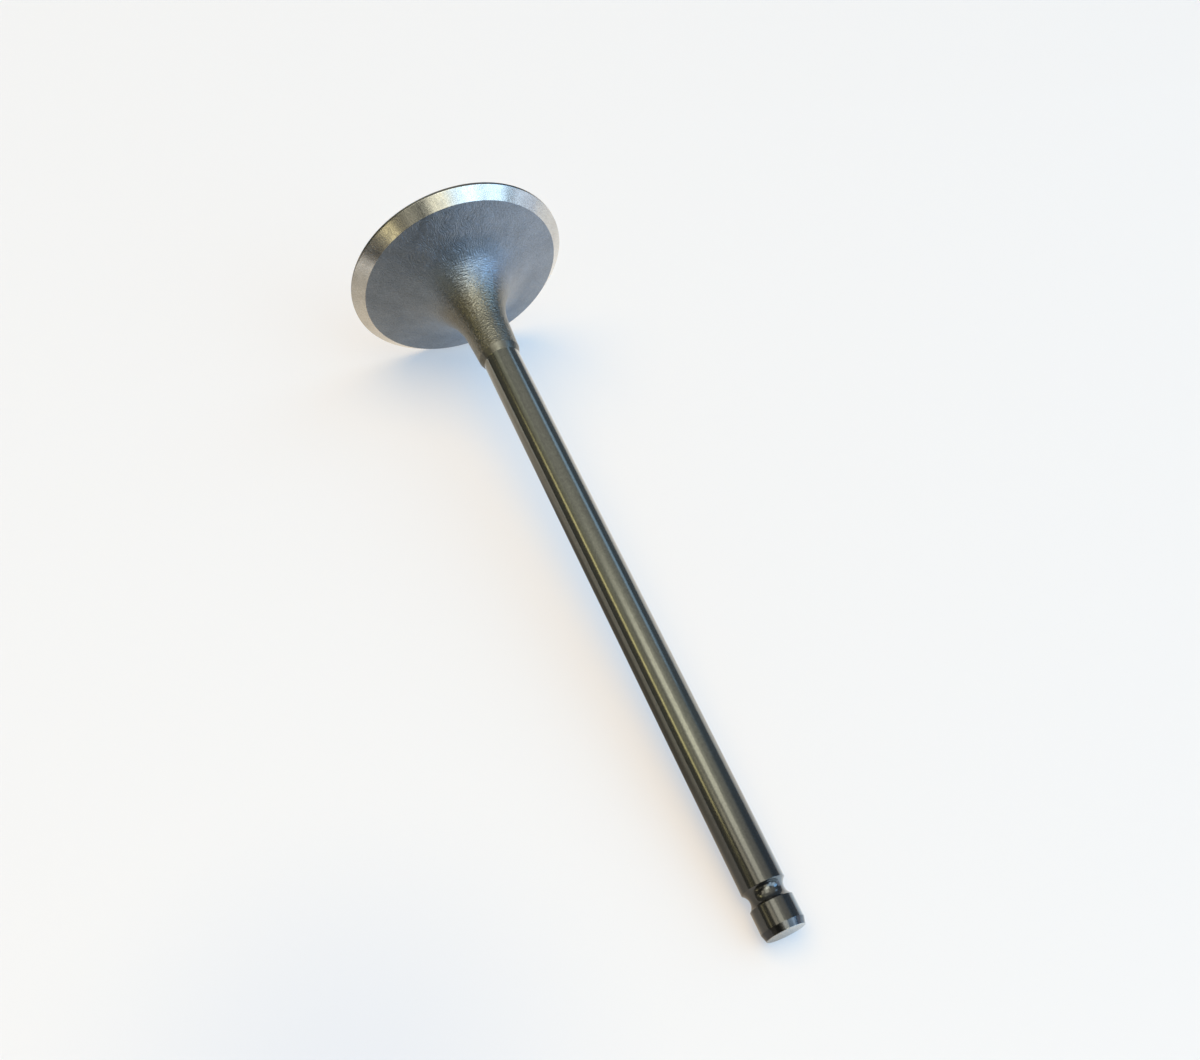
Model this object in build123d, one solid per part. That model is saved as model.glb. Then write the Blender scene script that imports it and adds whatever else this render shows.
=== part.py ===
from build123d import *
import math
import os

# Inlet valve of a four-stroke engine: one forging, turned and ground all over except for its tulip.
# It stands on its flat combustion face at Z = 0, and the stem runs up the Z axis to the tip.
# All sizes are millimetres and degrees.

# Head
head_diameter = 33.6
face_edge_break = 0.3       # 45 degree chamfer round the combustion face
margin_height = 0.4         # plain rim between that chamfer and the sealing cone
seat_angle = 45.0           # of the sealing cone, from the plane of the face
seat_width = 1.6            # of the sealing cone, measured along a radius
underside_angle = 17.0      # of the tulip's shallow outer part, from the plane of the face

# Neck
tulip_radius = 11.1         # hollow curve from the underside into the neck
neck_taper = 3.3            # each side, narrowing away from the head
neck_end_diameter = 6.24
neck_end_height = 18.35     # above the combustion face
shoulder_length = 1.1       # cone from the forged neck down to the ground stem

# Stem, keeper groove and tip
stem_diameter = 5.48
overall_length = 108.5
groove_width = 2.15
groove_depth = 0.55         # below the stem's surface
tip_land_length = 2.7       # between the groove and the tip's chamfer
tip_diameter = 5.42         # of that land, a little under the stem so that the guide slides over it
tip_chamfer_length = 0.9
tip_chamfer_depth = 0.28    # of the chamfer, measured along a radius

# Largest share of a straight side that the hollow curve may use up
longest_tangent = 0.98

head_radius = head_diameter / 2
stem_radius = stem_diameter / 2
tip_radius = tip_diameter / 2
neck_end_radius = neck_end_diameter / 2
seat_inner_radius = head_radius - seat_width
seat_low = face_edge_break + margin_height
seat_high = seat_low + seat_width * math.tan(math.radians(seat_angle))
stem_start_height = neck_end_height + shoulder_length
land_top = overall_length - tip_chamfer_length
land_low = land_top - tip_land_length
groove_middle = land_low - groove_width / 2


def tulip_corner():
    """Radius and height where the underside's slope would meet the neck's, without the hollow curve."""
    under_slope = math.tan(math.radians(underside_angle))
    neck_slope = math.tan(math.radians(neck_taper))
    rise = neck_end_height - seat_high - seat_inner_radius * under_slope
    radius = (neck_end_radius + rise * neck_slope) / (1 - under_slope * neck_slope)
    return radius, seat_high + (seat_inner_radius - radius) * under_slope


def hollow_radius(corner):
    """The tulip's curve, no larger than its two straight sides can take."""
    half_turn = math.radians(90 - underside_angle - neck_taper) / 2
    under_side = math.dist(corner, (seat_inner_radius, seat_high))
    neck_side = math.dist(corner, (neck_end_radius, neck_end_height))
    return min(tulip_radius, longest_tangent * min(under_side, neck_side) / math.tan(half_turn))


def turned_section():
    """Half of the valve's section, from its axis outwards, with the tulip's curve but no groove."""
    corner = tulip_corner()
    outline = Polyline(
        (0, 0),
        (head_radius - face_edge_break, 0),
        (head_radius, face_edge_break),
        (head_radius, seat_low),
        (seat_inner_radius, seat_high),
        corner,
        (neck_end_radius, neck_end_height),
        (stem_radius, stem_start_height),
        (stem_radius, groove_middle),
        (tip_radius, groove_middle),
        (tip_radius, land_top),
        (tip_radius - tip_chamfer_depth, overall_length),
        (0, overall_length),
        close=True,
    )
    section = make_face(outline)
    tulip = section.vertices().sort_by_distance(corner)[0]
    return fillet(tulip, hollow_radius(corner))


def keeper_groove():
    """Disc of a round-nosed tool, set so that it opens the stem by the groove's width and depth."""
    tool_radius = (groove_width**2 / 4 + groove_depth**2) / (2 * groove_depth)
    tool_reach = stem_radius - groove_depth + tool_radius
    return Pos(tool_reach, groove_middle) * Circle(tool_radius)


section = Plane.XZ * (turned_section() - keeper_groove())
engine_valve = revolve(section, Axis.Z)
engine_valve.label = "engine_valve"

os.makedirs("parts", exist_ok=True)
export_step(engine_valve, os.path.join("parts", "engine_valve.step"))
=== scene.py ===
import math

import bpy
from mathutils import Euler, Matrix, Vector


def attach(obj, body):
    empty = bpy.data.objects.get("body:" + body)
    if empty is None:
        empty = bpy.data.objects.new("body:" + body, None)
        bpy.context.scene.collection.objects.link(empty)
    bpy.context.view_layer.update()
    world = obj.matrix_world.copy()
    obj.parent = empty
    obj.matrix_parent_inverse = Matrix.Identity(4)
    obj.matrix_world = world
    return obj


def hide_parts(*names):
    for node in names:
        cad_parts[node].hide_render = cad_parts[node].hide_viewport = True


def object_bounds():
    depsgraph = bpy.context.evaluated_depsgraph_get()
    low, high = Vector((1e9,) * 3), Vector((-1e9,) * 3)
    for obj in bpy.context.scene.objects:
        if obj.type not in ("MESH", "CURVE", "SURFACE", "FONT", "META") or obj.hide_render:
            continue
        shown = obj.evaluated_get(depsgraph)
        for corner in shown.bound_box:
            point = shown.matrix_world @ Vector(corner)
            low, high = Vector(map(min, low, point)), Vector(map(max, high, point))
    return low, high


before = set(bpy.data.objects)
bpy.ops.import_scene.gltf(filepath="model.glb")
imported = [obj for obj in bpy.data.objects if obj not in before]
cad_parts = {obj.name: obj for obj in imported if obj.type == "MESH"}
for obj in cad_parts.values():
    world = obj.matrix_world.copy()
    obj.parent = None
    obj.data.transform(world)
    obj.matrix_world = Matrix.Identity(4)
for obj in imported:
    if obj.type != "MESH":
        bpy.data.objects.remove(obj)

cadLow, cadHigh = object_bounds()
mm = 0.001
millimetresPerMetre = 1000.0
print("frame loaded")


def addNode(tree, kind, inputs=None, **settings):
    made = tree.nodes.new(kind)
    for name, value in settings.items():
        setattr(made, name, value)
    for name, value in (inputs or {}).items():
        socket = made.inputs[name]
        if isinstance(value, bpy.types.NodeSocket):
            tree.links.new(value, socket)
        else:
            socket.default_value = value
    return made


def maths(tree, operation, *values):
    return addNode(tree, "ShaderNodeMath", dict(enumerate(values)), operation=operation).outputs[0]


def vectorMaths(tree, operation, *values):
    return addNode(tree, "ShaderNodeVectorMath", dict(enumerate(values)), operation=operation)


def scaled(tree, vector, factor):
    return addNode(tree, "ShaderNodeVectorMath", {0: vector, "Scale": factor},
                   operation="SCALE").outputs[0]


def mapRange(tree, value, begin, end, low=0.0, high=1.0, smooth=False):
    return addNode(tree, "ShaderNodeMapRange",
                   {"Value": value, "From Min": begin, "From Max": end, "To Min": low, "To Max": high},
                   interpolation_type="SMOOTHSTEP" if smooth else "LINEAR").outputs[0]


def mixValues(tree, share, first, second):
    return addNode(tree, "ShaderNodeMix", {0: share, 2: first, 3: second}).outputs[0]


def mixColours(tree, share, first, second):
    return addNode(tree, "ShaderNodeMix", {0: share, 6: first, 7: second},
                   data_type="RGBA").outputs[2]


def opaque(colour):
    return (*colour, 1)


def splitVector(tree, vector):
    return addNode(tree, "ShaderNodeSeparateXYZ", {0: vector}).outputs


def upright(tree, height):
    return addNode(tree, "ShaderNodeCombineXYZ", {2: height}).outputs[0]


def addSockets(tree, inputs, outputs):
    for name, kind, value in inputs:
        socket = tree.interface.new_socket(name, in_out="INPUT", socket_type="NodeSocket" + kind)
        if value is not None:
            socket.default_value = value
    for name, kind in outputs:
        tree.interface.new_socket(name, in_out="OUTPUT", socket_type="NodeSocket" + kind)


def groupEnds(tree):
    return addNode(tree, "NodeGroupInput").outputs, addNode(tree, "NodeGroupOutput").inputs


valve = {  # the section in millimetres, from the middle of the combustion face
    "headRadius": cadHigh.x / mm, "length": cadHigh.z / mm,
    "edgeBreak": 0.3, "marginTop": 0.7,  # the edge of the head
    "seatInner": 15.2, "seatTop": 2.3,
    "undersideAngle": 17, "tulipRadius": 11.1, "neckTaper": 3.3,  # both angles in degrees
    "neckEndRadius": 3.12, "neckEndHeight": 18.35,
    "stemRadius": 2.74, "stemStart": 19.45,
    "grooveWidth": 2.15, "grooveDepth": 0.55, "grooveMiddle": 103.825, "grooveSteps": 14,
    "landRadius": 2.71, "landTop": 107.6, "tipRadius": 2.43,
    "edgeRound": 0.07, "neckRound": 0.6, "stemRound": 0.25, "grooveRound": 0.06,
    "support": 0.05,  # the extra row beside each edge, which keeps the flats flat
    "supportRoom": 3,  # a flat no longer than this many of them goes without
    "arcStep": 9,  # degrees a row turns round a small edge
    "largeRound": 1.0,  # a round larger than this has its rows as far apart as the underside
    "straight": 1e-6,  # a turn of fewer radians than this is none
}
rowSteps = {  # how far apart the rows are on each surface, in millimetres
    "face": 1.5, "edge": 0.15, "margin": 0.15, "seat": 0.25, "underside": 0.21, "shoulder": 0.15,
    "stem": 3.5, "groove": 0.12, "land": 0.5, "chamfer": 0.25, "tip": 0.6,
}
zones = list(rowSteps)


def tulipCorner():
    slope, taper = math.radians(valve["undersideAngle"]), math.radians(valve["neckTaper"])
    seat = Vector((valve["seatInner"], valve["seatTop"]))
    neck = Vector((valve["neckEndRadius"], valve["neckEndHeight"]))
    rise = math.tan(slope)  # along the underside, z gained for each r lost
    lean = math.tan(taper)  # along the neck, r gained for each z lost
    r = (neck.x + lean * (neck.y - seat.y - rise * seat.x)) / (1 - lean * rise)
    return r, seat.y + rise * (seat.x - r)


# each corner is its radius, its height, its round and the surface that starts there
def outlineCorners():
    v = valve
    toolRadius = (v["grooveWidth"] ** 2 / 4 + v["grooveDepth"] ** 2) / (2 * v["grooveDepth"])
    toolMiddle = v["stemRadius"] - v["grooveDepth"] + toolRadius
    corners = [
        (0, 0, 0, "face"),
        (v["headRadius"] - v["edgeBreak"], 0, v["edgeRound"], "edge"),
        (v["headRadius"], v["edgeBreak"], v["edgeRound"], "margin"),
        (v["headRadius"], v["marginTop"], v["edgeRound"], "seat"),
        (v["seatInner"], v["seatTop"], v["edgeRound"], "underside"),
        (*tulipCorner(), v["tulipRadius"], "underside"),
        (v["neckEndRadius"], v["neckEndHeight"], v["neckRound"], "shoulder"),
        (v["stemRadius"], v["stemStart"], v["stemRound"], "stem"),
    ]
    for r, sign, nextZone in ((v["stemRadius"], -1, "groove"), (v["landRadius"], 1, "land")):
        reach = math.sqrt(toolRadius ** 2 - (toolMiddle - r) ** 2)
        corners.append((r, v["grooveMiddle"] + sign * reach, v["grooveRound"], nextZone))
        if sign < 0:
            half = math.asin(reach / toolRadius)
            for i in range(1, v["grooveSteps"]):
                turn = -half + 2 * half * i / v["grooveSteps"]
                corners.append((toolMiddle - toolRadius * math.cos(turn),
                                v["grooveMiddle"] + toolRadius * math.sin(turn), 0, "groove"))
    return corners + [
        (v["landRadius"], v["landTop"], v["edgeRound"], "chamfer"),
        (v["tipRadius"], v["length"], v["edgeRound"], "tip"),
        (0, v["length"], 0, "tip"),
    ]


def cornerRows(before, corner, after, radius):
    inward, outward = (corner - before).normalized(), (after - corner).normalized()
    turn = inward.angle_signed(outward)
    if radius == 0 or abs(turn) < valve["straight"]:
        return [corner]
    cut = radius * math.tan(abs(turn) / 2)
    start = corner - inward * cut
    side = Vector((-inward.y, inward.x)) * (-1 if turn > 0 else 1)
    centre = start + side * radius
    step = math.radians(valve["arcStep"])
    if radius > valve["largeRound"]:
        step = rowSteps["underside"] / radius
    count = max(2, math.ceil(abs(turn) / step))
    rows = []
    for i in range(count + 1):
        spoke = Matrix.Rotation(-turn * i / count, 2) @ (start - centre)
        rows.append(centre + spoke)
    return rows


def straightRows(start, end, step, support):
    length = (end - start).length
    marks = []
    if support and length > valve["supportRoom"] * valve["support"]:
        marks = [valve["support"] / length, 1 - valve["support"] / length]
    count = max(1, round(length / step))
    marks += [i / count for i in range(1, count)
              if support < min(i, count - i) * length / count or not support]
    return [start.lerp(end, t) for t in sorted(marks)]


def sectionRows():
    corners = outlineCorners()
    points = [Vector(c[:2]) for c in corners]
    bends = [[points[0]]]
    for i in range(1, len(corners) - 1):
        bends.append(cornerRows(points[i - 1], points[i], points[i + 1], corners[i][2]))
    bends.append([points[-1]])
    rows = []
    for i, (bend, corner) in enumerate(zip(bends, corners)):
        rows += [(p, corner[3]) for p in bend]
        if i + 1 < len(bends):
            rounded = corner[2] > 0 or corners[i + 1][2] > 0
            straight = straightRows(bend[-1], bends[i + 1][0], rowSteps[corner[3]],
                                    valve["support"] if rounded else 0)
            rows += [(p, corner[3]) for p in straight]
    return rows


patternValues = {
    "streakRadius": 10.0,  # millimetres from the axis where a streak is as wide as it is asked to be
    "rippleRadius": 4.0,  # and where a ripple is as long
    "rippleFade": 0.5,  # the share of the ripples' reach past which they thin out
    "broadScale": 0.13,  # how coarse the broad shades of a turned surface are beside its lines
    "tintSpan": (0.35, 0.65), "roughSpan": (0.3, 0.7),  # the part of a noise that each one covers
}


# the distance from the axis, the direction away from it and the height of a place
def polarParts(tree, position):
    parts = splitVector(tree, position)
    flat = addNode(tree, "ShaderNodeCombineXYZ", {0: parts[0], 1: parts[1]}).outputs[0]
    radius = vectorMaths(tree, "LENGTH", flat).outputs["Value"]
    return radius, vectorMaths(tree, "NORMALIZE", flat).outputs[0], parts[2]


# lathe and grinding lines that run round the axis
def turnedLinesGroup():
    tree = bpy.data.node_groups.new("turnedLines", "ShaderNodeTree")
    addSockets(tree, [("Position", "Vector", None), ("Lines per mm", "Float", 8.0),
                      ("Unevenness", "Float", 3.0), ("Seed", "Float", 0.0)],
               [("Height", "Float"), ("Broad", "Float")])
    start, end = groupEnds(tree)
    radius, spoke, height = polarParts(tree, start["Position"])
    around = scaled(tree, spoke, start["Unevenness"])
    pitch = maths(tree, "MULTIPLY", start["Lines per mm"], millimetresPerMetre)
    across = maths(tree, "MULTIPLY", height, pitch)
    outward = maths(tree, "ADD", maths(tree, "MULTIPLY", radius, pitch), start["Seed"])
    spot = vectorMaths(tree, "ADD", around, upright(tree, across)).outputs[0]
    fine = addNode(tree, "ShaderNodeTexNoise", {
        "Vector": spot, "W": outward, "Scale": 1.0, "Detail": 3.0, "Roughness": 0.6},
        noise_dimensions="4D")
    broad = addNode(tree, "ShaderNodeTexNoise", {
        "Vector": spot, "W": outward, "Scale": patternValues["broadScale"], "Detail": 2.0},
        noise_dimensions="4D")
    tree.links.new(fine.outputs[0], end["Height"])
    tree.links.new(broad.outputs[0], end["Broad"])
    return tree


# streaks that run out from the axis, straight on a ground seat and swirled on a forged skin,
# and short ripples round it nearer the axis
def radialStreaksGroup():
    tree = bpy.data.node_groups.new("radialStreaks", "ShaderNodeTree")
    addSockets(tree, [("Position", "Vector", None), ("Width mm", "Float", 0.3),
                      ("Length mm", "Float", 1.6), ("Swirl", "Float", 0.8),
                      ("Swirl mm", "Float", 4.0), ("Ripple mm", "Float", 0.3),
                      ("Ripple Length mm", "Float", 0.7), ("Ripple Depth", "Float", 1.0),
                      ("Ripples To mm", "Float", 1.0), ("Patch mm", "Float", 3.0)],
               [("Height", "Float"), ("Patches", "Float")])
    start, end = groupEnds(tree)
    swirls = addNode(tree, "ShaderNodeTexNoise", {
        "Vector": start["Position"], "Detail": 1.0,
        "Scale": maths(tree, "DIVIDE", millimetresPerMetre, start["Swirl mm"])}).outputs[0]
    turn = maths(tree, "MULTIPLY", maths(tree, "SUBTRACT", swirls, 0.5), start["Swirl"])
    turned = addNode(tree, "ShaderNodeVectorRotate", {"Vector": start["Position"], "Angle": turn},
                     rotation_type="Z_AXIS").outputs[0]
    radius, spoke, height = polarParts(tree, turned)
    descent = maths(tree, "MULTIPLY", maths(tree, "SUBTRACT", radius, height), millimetresPerMetre)

    around = scaled(tree, spoke, maths(tree, "DIVIDE", patternValues["streakRadius"],
                                       start["Width mm"]))
    along = maths(tree, "DIVIDE", descent, start["Length mm"])
    streaks = addNode(tree, "ShaderNodeTexNoise", {
        "Vector": vectorMaths(tree, "ADD", around, upright(tree, along)).outputs[0],
        "Scale": 1.0, "Detail": 4.0, "Roughness": 0.55}).outputs[0]

    ringed = scaled(tree, spoke, maths(tree, "DIVIDE", patternValues["rippleRadius"],
                                       start["Ripple Length mm"]))
    stacked = upright(tree, maths(tree, "DIVIDE", descent, start["Ripple mm"]))
    ripples = addNode(tree, "ShaderNodeTexNoise", {
        "Vector": vectorMaths(tree, "ADD", ringed, stacked).outputs[0],
        "Scale": 1.0, "Detail": 2.0}).outputs[0]
    rippled = maths(tree, "MULTIPLY", maths(tree, "SUBTRACT", ripples, 0.5), start["Ripple Depth"])
    rippled = maths(tree, "ADD", rippled, 0.5)

    reach = maths(tree, "DIVIDE", start["Ripples To mm"], millimetresPerMetre)
    fadeStart = maths(tree, "MULTIPLY", reach, patternValues["rippleFade"])
    outside = mapRange(tree, radius, fadeStart, reach, smooth=True)
    patches = addNode(tree, "ShaderNodeTexNoise", {
        "Vector": start["Position"], "Detail": 3.0,
        "Scale": maths(tree, "DIVIDE", millimetresPerMetre, start["Patch mm"])}).outputs[0]
    tree.links.new(mixValues(tree, outside, rippled, streaks), end["Height"])
    tree.links.new(patches, end["Patches"])
    return tree


# small lighter and darker grains of the metal
def grainsGroup():
    tree = bpy.data.node_groups.new("metalGrains", "ShaderNodeTree")
    addSockets(tree, [("Position", "Vector", None), ("Size mm", "Float", 0.2),
                      ("Depth", "Float", 0.1)], [("Shade", "Float")])
    start, end = groupEnds(tree)
    grains = addNode(tree, "ShaderNodeTexNoise", {
        "Vector": start["Position"], "Detail": 1.0,
        "Scale": maths(tree, "DIVIDE", millimetresPerMetre, start["Size mm"])}).outputs[0]
    spread = maths(tree, "MULTIPLY", maths(tree, "SUBTRACT", grains, 0.5), start["Depth"])
    tree.links.new(maths(tree, "ADD", 1.0, spread), end["Shade"])
    return tree


turnedLines, radialStreaks, metalGrains = turnedLinesGroup(), radialStreaksGroup(), grainsGroup()


def steelMaterial(name, colour, tint, roughness, roughSpread, pattern, values, bump, bumpSize,
                  grain=0.6, coat=0, endBlend=None):
    material = bpy.data.materials.new(name)
    material.use_nodes = True
    tree = material.node_tree
    shader = tree.nodes["Principled BSDF"]
    shader.inputs["Metallic"].default_value = 1.0
    shader.inputs["Coat Weight"].default_value = coat
    shader.inputs["Coat Roughness"].default_value = roughness
    where = addNode(tree, "ShaderNodeTexCoord").outputs["Object"]
    group = addNode(tree, "ShaderNodeGroup", {}, node_tree=pattern)
    tree.links.new(where, group.inputs["Position"])
    for socket, value in values.items():
        group.inputs[socket].default_value = value
    fine, broad = group.outputs[0], group.outputs[1]
    share = mapRange(tree, broad, *patternValues["tintSpan"])
    steel = mixColours(tree, share, opaque(colour), opaque(tint))
    rough = mapRange(tree, fine, *patternValues["roughSpan"],
                     roughness - roughSpread, roughness + roughSpread)
    if endBlend:
        # between two heights the colour and roughness blend to other values; on the stem this darkens
        # the tip end, a painted shade
        height = splitVector(tree, where)[2]
        share = mapRange(tree, height, endBlend["begin"] * mm, endBlend["end"] * mm, smooth=True)
        steel = mixColours(tree, share, steel, opaque(endBlend["colour"]))
        rough = mixValues(tree, share, rough, endBlend["roughness"])
    grains = addNode(tree, "ShaderNodeGroup", {}, node_tree=metalGrains)
    tree.links.new(where, grains.inputs["Position"])
    grains.inputs["Depth"].default_value = grain
    shaded = scaled(tree, steel, grains.outputs[0])
    tree.links.new(shaded, shader.inputs["Base Color"])
    tree.links.new(rough, shader.inputs["Roughness"])
    relief = addNode(tree, "ShaderNodeBump", {"Height": fine, "Distance": bumpSize * mm,
                                              "Strength": bump})
    tree.links.new(relief.outputs[0], shader.inputs["Normal"])
    return material


finishes = {  # sizes of the bumps and heights of the blended ends in millimetres
    "nitridedStem": dict(
        colour=(0.112, 0.117, 0.106), tint=(0.126, 0.131, 0.119), roughness=0.17, roughSpread=0.02,
        pattern=turnedLines, values={"Lines per mm": 12.0, "Unevenness": 40.0, "Seed": 3.0},
        bump=0.25, bumpSize=0.002, coat=0.8,
        # the tip end is painted darker: painted shade
        endBlend=dict(colour=(0.058, 0.060, 0.062), roughness=0.17, begin=82, end=104)),
    "nitridedShoulder": dict(
        colour=(0.115, 0.115, 0.105), tint=(0.14, 0.14, 0.13), roughness=0.34, roughSpread=0.06,
        pattern=turnedLines, values={"Lines per mm": 5.0, "Unevenness": 20.0, "Seed": 9.0},
        bump=0.6, bumpSize=0.006),
    "forgedUnderside": dict(
        colour=(0.164, 0.196, 0.244), tint=(0.194, 0.230, 0.286), roughness=0.36, roughSpread=0.05,
        pattern=radialStreaks,
        values={"Width mm": 0.22, "Length mm": 1.0, "Swirl": 0.32, "Swirl mm": 3.0,
                "Ripple mm": 0.27, "Ripple Length mm": 0.5, "Ripple Depth": 1.7,
                "Ripples To mm": 9.0},
        bump=1.0, bumpSize=0.10, grain=0.85, coat=0.30,
        endBlend=dict(colour=(0.158, 0.154, 0.134), roughness=0.33, begin=5.5, end=10.5)),
    "groundSeat": dict(
        colour=(0.42, 0.42, 0.412), tint=(0.49, 0.49, 0.482), roughness=0.23, roughSpread=0.05,
        pattern=radialStreaks, values={"Width mm": 0.12, "Length mm": 1.6, "Swirl": 0.2},
        bump=0.5, bumpSize=0.006),
    "darkChamfer": dict(
        colour=(0.055, 0.057, 0.062), tint=(0.07, 0.072, 0.078), roughness=0.18, roughSpread=0.03,
        pattern=turnedLines, values={"Lines per mm": 9.0, "Unevenness": 20.0, "Seed": 13.0},
        bump=0.3, bumpSize=0.002),
    "turnedHead": dict(
        colour=(0.12, 0.12, 0.118), tint=(0.16, 0.16, 0.157), roughness=0.33, roughSpread=0.07,
        pattern=turnedLines, values={"Lines per mm": 4.0, "Unevenness": 2.0, "Seed": 7.0},
        bump=0.5, bumpSize=0.008),
    "groundTip": dict(
        colour=(0.40, 0.40, 0.40), tint=(0.45, 0.45, 0.44), roughness=0.28, roughSpread=0.05,
        pattern=turnedLines, values={"Lines per mm": 8.0, "Unevenness": 2.0, "Seed": 5.0},
        bump=0.3, bumpSize=0.003),
}
zoneFinish = {
    "face": "turnedHead", "edge": "turnedHead", "margin": "turnedHead", "seat": "groundSeat",
    "underside": "forgedUnderside", "shoulder": "nitridedShoulder", "stem": "nitridedStem",
    "groove": "nitridedStem", "land": "nitridedStem", "chamfer": "darkChamfer", "tip": "groundTip",
}
materials = {name: steelMaterial(name, **values) for name, values in finishes.items()}
print("finishes made")


lathe = {
    "Segments": 384,
    "Relief Height": 0.016 * mm, "Relief Size": 0.8 * mm,  # the skin that the forging leaves
    "Relief From": 2.5 * mm, "Relief To": 18.0 * mm,
    "Fade In": 0.4 * mm, "Fade Out": 1.5 * mm,
    "Weld": 0.001 * mm,
    "Seed": 4,
}


# the half keeps the quotient off a whole number, where rounding could go either way
def rowNumber(tree, index, rowSize):
    return maths(tree, "FLOOR", maths(tree, "DIVIDE", maths(tree, "ADD", index, 0.5), rowSize))


def latheTree():
    tree = bpy.data.node_groups.new("valveLathe", "GeometryNodeTree")
    addSockets(tree, [("Section", "Geometry", None), ("Segments", "Int", 96),
                      ("Relief Height", "Float", 0.0), ("Relief Size", "Float", 0.001),
                      ("Relief From", "Float", 0.0), ("Relief To", "Float", 1.0),
                      ("Fade In", "Float", 0.0), ("Fade Out", "Float", 0.0),
                      ("Weld", "Float", 0.0), ("Seed", "Int", 0)], [("Valve", "Geometry")])
    start, end = groupEnds(tree)
    section, segments = start["Section"], start["Segments"]

    # a grid with one row for each point of the section, whose faces keep the section's zones
    rows = addNode(tree, "GeometryNodeAttributeDomainSize", {0: section}, component="MESH").outputs[0]
    rowPoints = maths(tree, "ADD", segments, 1.0)
    grid = addNode(tree, "GeometryNodeMeshGrid", {"Vertices X": rows, "Vertices Y": rowPoints})
    index = addNode(tree, "GeometryNodeInputIndex").outputs[0]
    zone = addNode(tree, "GeometryNodeInputNamedAttribute", {"Name": "zone"},
                   data_type="INT").outputs[0]
    faceZone = addNode(tree, "GeometryNodeSampleIndex",
                       {0: section, "Value": zone, "Index": rowNumber(tree, index, segments)},
                       data_type="INT").outputs[0]
    marked = addNode(tree, "GeometryNodeStoreNamedAttribute",
                     {0: grid.outputs[0], "Name": "zone", "Value": faceZone},
                     data_type="INT", domain="FACE").outputs[0]

    # each row goes round the axis at its point of the section
    row = rowNumber(tree, index, rowPoints)
    spoke = maths(tree, "SUBTRACT", index, maths(tree, "MULTIPLY", row, rowPoints))
    sectionPlace = addNode(tree, "GeometryNodeInputPosition").outputs[0]
    spot = addNode(tree, "GeometryNodeSampleIndex",
                   {0: section, "Value": sectionPlace, "Index": row},
                   data_type="FLOAT_VECTOR").outputs[0]
    turn = maths(tree, "MULTIPLY", maths(tree, "DIVIDE", spoke, segments), -2 * math.pi)
    turned = addNode(tree, "ShaderNodeVectorRotate", {"Vector": spot, "Angle": turn},
                     rotation_type="Z_AXIS").outputs[0]
    placed = addNode(tree, "GeometryNodeSetPosition", {0: marked, "Position": turned}).outputs[0]
    closed = addNode(tree, "GeometryNodeMergeByDistance",
                     {0: placed, "Distance": start["Weld"]}).outputs[0]

    # the forged skin
    place = addNode(tree, "GeometryNodeInputPosition").outputs[0]
    height = splitVector(tree, place)[2]
    fadeIn = mapRange(tree, height, start["Relief From"],
                      maths(tree, "ADD", start["Relief From"], start["Fade In"]), smooth=True)
    fadeOut = mapRange(tree, height, start["Relief To"],
                       maths(tree, "SUBTRACT", start["Relief To"], start["Fade Out"]), smooth=True)
    bumps = addNode(tree, "ShaderNodeTexNoise", {
        "Vector": place, "W": start["Seed"], "Detail": 2.0,
        "Scale": maths(tree, "DIVIDE", 1.0, start["Relief Size"])}, noise_dimensions="4D").outputs[0]
    depth = maths(tree, "MULTIPLY", maths(tree, "SUBTRACT", bumps, 0.5), start["Relief Height"])
    lift = maths(tree, "MULTIPLY", maths(tree, "MULTIPLY", fadeIn, fadeOut), depth)
    offset = scaled(tree, addNode(tree, "GeometryNodeInputNormal").outputs[0], lift)
    forged = addNode(tree, "GeometryNodeSetPosition", {0: closed, "Offset": offset}).outputs[0]

    smooth = addNode(tree, "GeometryNodeSetShadeSmooth", {0: forged}).outputs[0]
    shape = addNode(tree, "GeometryNodeRealizeInstances", {0: smooth}).outputs[0]
    for name, material in materials.items():
        wanted = None
        for k, zoneName in enumerate(zones):
            if zoneFinish[zoneName] != name:
                continue
            here = addNode(tree, "GeometryNodeInputNamedAttribute", {"Name": "zone"},
                           data_type="INT").outputs[0]
            same = addNode(tree, "FunctionNodeCompare", {2: here, 3: k}, data_type="INT",
                           operation="EQUAL").outputs[0]
            if wanted is None:
                wanted = same
            else:
                wanted = addNode(tree, "FunctionNodeBooleanMath", {0: wanted, 1: same},
                                 operation="OR").outputs[0]
        shape = addNode(tree, "GeometryNodeSetMaterial",
                        {0: shape, "Selection": wanted, "Material": material}).outputs[0]
    tree.links.new(shape, end["Valve"])
    return tree


def dropEmptySlots(mesh):
    slots = list(mesh.materials)
    kept = [m for m in slots if m]
    numbers = [kept.index(slots[p.material_index]) for p in mesh.polygons]
    mesh.materials.clear()
    for material in kept:
        mesh.materials.append(material)
    mesh.polygons.foreach_set("material_index", numbers)


def makeValve():
    rows = sectionRows()
    mesh = bpy.data.meshes.new("engineValve")
    mesh.from_pydata([(p.x * mm, 0, p.y * mm) for p, zone in rows],
                     [(i, i + 1) for i in range(len(rows) - 1)], [])
    zone = mesh.attributes.new("zone", "INT", "POINT")
    zone.data.foreach_set("value", [zones.index(z) for p, z in rows])
    piece = bpy.data.objects.new("engineValve", mesh)
    bpy.context.scene.collection.objects.link(piece)
    modifier = piece.modifiers.new("lathe", "NODES")
    modifier.node_group = latheTree()
    for socket in modifier.node_group.interface.items_tree:
        if socket.in_out == "INPUT" and socket.name in lathe:
            modifier[socket.identifier] = lathe[socket.name]
    evaluated = piece.evaluated_get(bpy.context.evaluated_depsgraph_get())
    solid = bpy.data.meshes.new_from_object(evaluated)
    piece.modifiers.clear()
    piece.data = solid
    dropEmptySlots(solid)
    return piece


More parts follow.
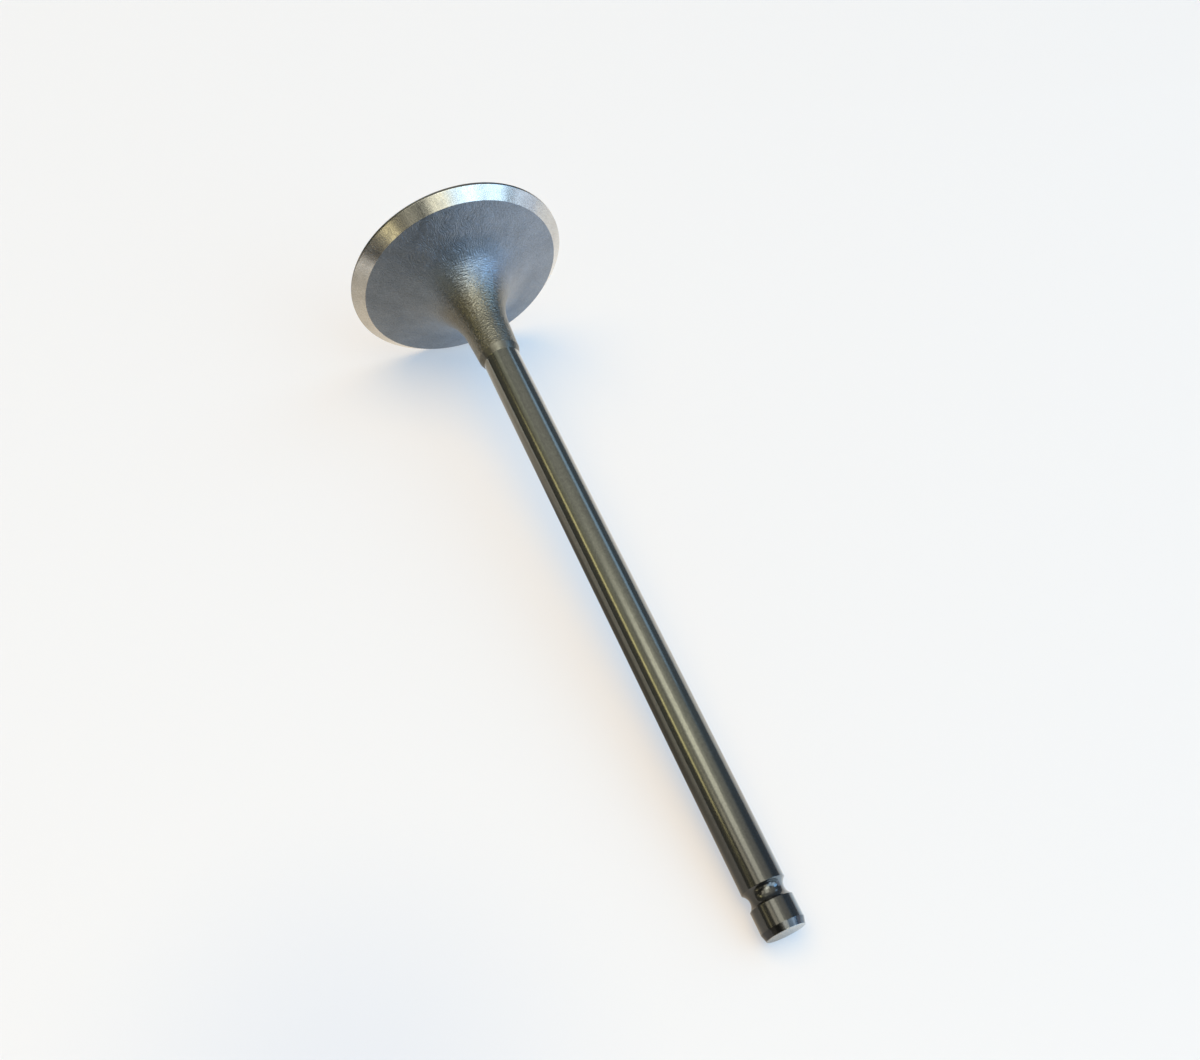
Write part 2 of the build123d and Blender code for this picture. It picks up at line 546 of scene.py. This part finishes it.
engineValve = makeValve()
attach(engineValve, "root")
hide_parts("engine_valve")
print("valve turned:", len(engineValve.data.vertices), "points",
      len(engineValve.data.polygons), "faces", [m.name for m in engineValve.data.materials])


stageValues = {  # places and sizes on the table in metres from its middle, under the middle of the valve
    "tableNear": 0.09, "tableFar": 0.6, "tableLeft": 0.095, "tableRight": 0.4,
    "tableColour": (0.735, 0.735, 0.735), "tableGloss": 0.55,
    "tableGlow": 0.47, "glow": (0.82, 0.915, 1.048),  # the share of the table that glows and takes no shadow, and its bluish colour: painted fill light that lightens the table's shadows and tints them blue
    # the glow is duller and bluer in the near left corner: a painted shadow
    "cornerGlow": (0.62, 0.775, 1.01), "cornerShadowPlace": (-0.051, -0.053), "cornerShadowReach": 0.039,
    # what the steel mirrors of the table, painted light and shade that only mirror rays see: its tones
    # from left to right, darker in a painted shaded band on the left
    "paintedShadingInSteel": ((-0.068, (0.98, 0.96, 0.93)), (-0.048, (0.58, 0.55, 0.50)),
                (-0.020, (0.60, 0.57, 0.52)), (0.030, (1.08, 1.09, 1.11))),
    "rightFrom": 0.0, "rightTo": 0.015,  # where the right side of it begins
    "paintedLightBehindInSteel": 1.4, "behindFrom": 0.040, "behindTo": 0.054,  # painted light: brighter on the left past the head
    "paintedSheenAheadInSteel": (1.25, 1.60, 2.0),  # a painted bluish sheen on the right past the tip
    "aheadFrom": -0.036, "aheadTo": -0.056,
    "paintedShadowInSteel": 0.2, "dimPlace": (-0.004, -0.008),  # and a painted shadow, a dim patch along the stem
    "dimFrom": 0.024, "dimTo": 0.054, "dimStretch": 2.8,
    "paper": 0.92,  # what the camera sees past the table
    "dome": (0.20, 0.33, 0.45),  # the even light of the room on the table
    # the room that the steel mirrors
    "below": 0.05, "ceiling": (0.88, 0.86, 0.74),
    "leftWall": (0.22, 0.21, 0.165), "rightWall": (0.21, 0.26, 0.31), "wallSpan": 0.5,
    "frontWall": 0.35,  # how bright the wall past the tip is beside the one behind the head
    "rampLow": 30, "rampHigh": 72,  # the walls turn into the ceiling between these degrees
    "ceilingLeft": (-0.60, -0.40), "ceilingRight": (0.60, 0.80),  # where it ends on each side
    "ceilingFront": (0.15, 0.45),
}
alongTable = Vector((0, valve["headRadius"] - valve["landRadius"],
                     valve["landTop"] - valve["edgeBreak"])).normalized()
acrossTable = Vector((1, 0, 0))
tableUp = alongTable.cross(acrossTable)
rimContact = Vector((0, -valve["headRadius"], valve["edgeBreak"])) * mm
tableMiddle = rimContact + alongTable * valve["length"] / 2 * mm


# the table as the steel mirrors it, with painted light and shade that only mirror rays see
def paintedMirroredTable(tree, place):
    across, along = splitVector(tree, place)[0:2]
    steps = stageValues["paintedShadingInSteel"]
    first, last = steps[0][0], steps[-1][0]
    ramp = addNode(tree, "ShaderNodeValToRGB", {0: mapRange(tree, across, first, last)})
    tones = ramp.color_ramp.elements
    for spot, tone in steps[1:-1]:
        tones.new((spot - first) / (last - first)).color = opaque(tone)
    tones[0].color, tones[-1].color = opaque(steps[0][1]), opaque(steps[-1][1])

    right = mapRange(tree, across, stageValues["rightFrom"], stageValues["rightTo"])
    ahead = mapRange(tree, along, stageValues["aheadFrom"], stageValues["aheadTo"])
    paintedMirrored = mixColours(tree, maths(tree, "MULTIPLY", ahead, right), ramp.outputs[0],
                          opaque(stageValues["paintedSheenAheadInSteel"]))
    behind = mapRange(tree, along, stageValues["behindFrom"], stageValues["behindTo"],
                      1.0, stageValues["paintedLightBehindInSteel"])
    paintedMirrored = scaled(tree, paintedMirrored, mixValues(tree, right, behind, 1.0))

    # a painted shadow: the mirrored table dims in a stretched patch along the stem
    away = vectorMaths(tree, "SUBTRACT", place, (*stageValues["dimPlace"], 0)).outputs[0]
    away = vectorMaths(tree, "MULTIPLY", away, (stageValues["dimStretch"], 1.0, 1.0)).outputs[0]
    away = vectorMaths(tree, "LENGTH", away).outputs["Value"]
    dim = mapRange(tree, away, stageValues["dimFrom"], stageValues["dimTo"],
                   stageValues["paintedShadowInSteel"])
    return scaled(tree, paintedMirrored, dim)


def tableMaterial():
    material = bpy.data.materials.new("paleTable")
    material.use_nodes = True
    tree = material.node_tree
    tree.nodes.clear()
    rays = addNode(tree, "ShaderNodeLightPath").outputs
    glossy = rays["Is Glossy Ray"]
    place = addNode(tree, "ShaderNodeTexCoord").outputs["Object"]
    paintedMirrored = paintedMirroredTable(tree, place)
    # mirror rays see the table in its painted tones
    colour = mixColours(tree, glossy, opaque(stageValues["tableColour"]), paintedMirrored)
    white = addNode(tree, "ShaderNodeBsdfPrincipled", {
        "Base Color": colour, "Roughness": stageValues["tableGloss"]}).outputs[0]

    # a painted shadow: the glow turns duller and bluer near the near left corner
    fromCornerShadow = vectorMaths(tree, "DISTANCE", place, (*stageValues["cornerShadowPlace"], 0))
    corner = mapRange(tree, fromCornerShadow.outputs["Value"], 0.0, stageValues["cornerShadowReach"], smooth=True)
    seen = mixColours(tree, corner, opaque(stageValues["cornerGlow"]), opaque(stageValues["glow"]))
    shine = mixColours(tree, glossy, seen, paintedMirrored)
    glow = addNode(tree, "ShaderNodeEmission", {"Color": shine}).outputs[0]
    # this share glows for camera and mirror rays: painted fill light that lightens the table's shadows
    share = maths(tree, "MULTIPLY", maths(tree, "MAXIMUM", rays["Is Camera Ray"], glossy),
                  stageValues["tableGlow"])
    lit = addNode(tree, "ShaderNodeMixShader", {0: share, 1: white, 2: glow}).outputs[0]

    # from below there is nothing to see
    back = addNode(tree, "ShaderNodeNewGeometry").outputs["Backfacing"]
    clear = addNode(tree, "ShaderNodeBsdfTransparent").outputs[0]
    mixed = addNode(tree, "ShaderNodeMixShader", {0: back, 1: lit, 2: clear}).outputs[0]
    addNode(tree, "ShaderNodeOutputMaterial", {0: mixed})
    return material


def makeTable():
    near, far = stageValues["tableNear"], stageValues["tableFar"]
    left, right = stageValues["tableLeft"], stageValues["tableRight"]
    mesh = bpy.data.meshes.new("table")
    mesh.from_pydata([(-left, -near, 0), (right, -near, 0), (right, far, 0), (-left, far, 0)],
                     [], [(0, 1, 2, 3)])
    mesh.materials.append(tableMaterial())
    table = bpy.data.objects.new("table", mesh)
    turned = Matrix((acrossTable, tableUp.cross(acrossTable), tableUp)).transposed()
    table.matrix_world = Matrix.Translation(tableMiddle) @ turned.to_4x4()
    bpy.context.scene.collection.objects.link(table)


# mirror rays see the room, the camera sees plain paper, and the table takes the dome
def makeWorld():
    world = bpy.data.worlds.new("studio")
    bpy.context.scene.world = world
    world.use_nodes = True
    tree = world.node_tree
    tree.nodes.clear()
    way = addNode(tree, "ShaderNodeTexCoord").outputs["Generated"]
    height = vectorMaths(tree, "DOT_PRODUCT", way, tableUp).outputs["Value"]
    aside = vectorMaths(tree, "DOT_PRODUCT", way, acrossTable).outputs["Value"]
    ahead = vectorMaths(tree, "DOT_PRODUCT", way, alongTable).outputs["Value"]

    span = stageValues["wallSpan"]
    walls = mixColours(tree, mapRange(tree, aside, -span, span),
                       opaque(stageValues["leftWall"]), opaque(stageValues["rightWall"]))
    walls = scaled(tree, walls, mapRange(tree, ahead, 0.0, span, 1.0, stageValues["frontWall"]))
    rise = mapRange(tree, height, math.sin(math.radians(stageValues["rampLow"])),
                    math.sin(math.radians(stageValues["rampHigh"])), smooth=True)
    for direction, name, low, high in ((aside, "ceilingLeft", 0.0, 1.0),
                                       (aside, "ceilingRight", 1.0, 0.0),
                                       (ahead, "ceilingFront", 1.0, 0.0)):
        edge = mapRange(tree, direction, *stageValues[name], low, high, smooth=True)
        rise = maths(tree, "MULTIPLY", rise, edge)
    room = mixColours(tree, rise, walls, opaque(stageValues["ceiling"]))
    room = mixColours(tree, maths(tree, "GREATER_THAN", height, 0.0),
                      opaque((stageValues["below"],) * 3), room)

    rays = addNode(tree, "ShaderNodeLightPath").outputs
    room = mixColours(tree, rays["Is Glossy Ray"], opaque(stageValues["dome"]), room)
    seen = maths(tree, "MAXIMUM", rays["Is Camera Ray"], rays["Is Transmission Ray"])
    colour = mixColours(tree, seen, room, opaque((stageValues["paper"],) * 3))
    back = addNode(tree, "ShaderNodeBackground", {"Color": colour}).outputs[0]
    addNode(tree, "ShaderNodeOutputWorld", {0: back})


# azimuth is counted round the table from the tip side and elevation above it, all in degrees,
# and colour is how bright the lamp looks
lamps = {  # the panels and windows that the steel mirrors
    "warmLamp": dict(azimuth=-112, elevation=29, wide=20, tall=8, colour=(2.5, 2.15, 1.0)),
    "leftUpper": dict(azimuth=-129, elevation=45, wide=42, tall=17, colour=(0.42, 0.41, 0.30)),
    "goldLamp": dict(azimuth=-91, elevation=19, wide=11, tall=8, colour=(1.15, 0.98, 0.50)),
    "cornerLamp": dict(azimuth=-46, elevation=11, wide=5, tall=12, colour=(2.0, 1.7, 0.9)),
    "cornerGlow": dict(azimuth=-30, elevation=26, wide=11, tall=8, colour=(0.60, 0.56, 0.42)),
    "leftPanel": dict(azimuth=-50, elevation=10, wide=40, tall=26, colour=(0.16, 0.14, 0.10)),
    "leftHigh": dict(azimuth=-80, elevation=52, wide=28, tall=14, colour=(1.5, 1.35, 1.0)),
    "overheadPanel": dict(azimuth=-53, elevation=75, wide=22, tall=50, turn=53,
                          colour=(1.5, 1.42, 1.12)),
    "overheadHalo": dict(azimuth=-45, elevation=77, wide=44, tall=60, turn=45,
                         colour=(0.32, 0.30, 0.22)),
    "overheadFront": dict(azimuth=-2, elevation=63, wide=22, tall=24, colour=(3.0, 3.0, 2.55)),
    "sideWindow": dict(azimuth=122, elevation=40, wide=18, tall=12, colour=(0.55, 0.9, 1.3)),
    "frontWindow": dict(azimuth=34, elevation=47, wide=42, tall=18, colour=(1.45, 1.9, 2.25)),
    "rightWindow": dict(azimuth=74, elevation=35, wide=15, tall=24, colour=(1.35, 2.8, 4.7)),
    "lowWindow": dict(azimuth=52, elevation=31, wide=20, tall=18, colour=(1.8, 2.4, 2.9)),
    "lowPane": dict(azimuth=27, elevation=31, wide=12, tall=18, colour=(1.8, 2.4, 2.9)),
    "seatWindow": dict(azimuth=40, elevation=7, wide=52, tall=14, colour=(0.70, 0.92, 1.10)),
    "paleWall": dict(azimuth=77, elevation=8, wide=32, tall=22, colour=(0.65, 0.72, 0.85)),
    "frontLamp": dict(azimuth=-5, elevation=39, wide=18, tall=14, colour=(1.7, 1.6, 1.2)),
}
tableLamps = {  # the two big soft lights that only the table takes
    "skyFill": dict(azimuth=62, elevation=48, wide=84, tall=60, colour=(0.55, 1.0, 1.46)),
    "warmFill": dict(azimuth=-125, elevation=74, wide=50, tall=50, colour=(3.6, 2.12, 0.40)),
}
lampDistance = 3.0
wattsPerBrightness = 4  # for each square metre of a lamp


def makeLamps():
    for name, lamp in (lamps | tableLamps).items():
        azimuth, elevation = math.radians(lamp["azimuth"]), math.radians(lamp["elevation"])
        level = acrossTable * math.sin(azimuth) + alongTable * math.cos(azimuth)
        way = level * math.cos(elevation) + tableUp * math.sin(elevation)
        light = bpy.data.lights.new(name, "AREA")
        light.shape = "RECTANGLE"
        light.size = 2 * lampDistance * math.tan(math.radians(lamp["wide"] / 2))
        light.size_y = 2 * lampDistance * math.tan(math.radians(lamp["tall"] / 2))
        bright = max(lamp["colour"])
        light.color = [c / bright for c in lamp["colour"]]
        light.energy = wattsPerBrightness * bright * light.size * light.size_y
        made = bpy.data.objects.new(name, light)
        turn = math.radians(lamp.get("turn", 0))
        side = Matrix.Rotation(turn, 3, way) @ tableUp.cross(way).normalized()
        facing = Matrix((side, way.cross(side), way)).transposed().to_4x4()
        made.matrix_world = Matrix.Translation(tableMiddle + way * lampDistance) @ facing
        made.visible_camera = False
        made.visible_glossy = name in lamps
        made.visible_diffuse = name in tableLamps
        bpy.context.scene.collection.objects.link(made)


cameraPlace = {  # millimetres and degrees
    "x": -53.527, "y": 136.878, "z": 128.950, "turns": (-59.5696, -23.413, 8.8617),
    "lens": 37.05, "clipStart": 10,
}


def makeCamera():
    camera = bpy.data.objects.new("camera", bpy.data.cameras.new("camera"))
    camera.location = Vector((cameraPlace["x"], cameraPlace["y"], cameraPlace["z"])) * mm
    camera.rotation_euler = Euler([math.radians(a) for a in cameraPlace["turns"]])
    camera.data.lens = cameraPlace["lens"]
    camera.data.clip_start = cameraPlace["clipStart"] * mm
    bpy.context.scene.collection.objects.link(camera)
    bpy.context.scene.camera = camera


makeTable()
makeWorld()
makeLamps()
makeCamera()
bpy.context.scene.view_settings.view_transform = "Standard"
print("studio made")
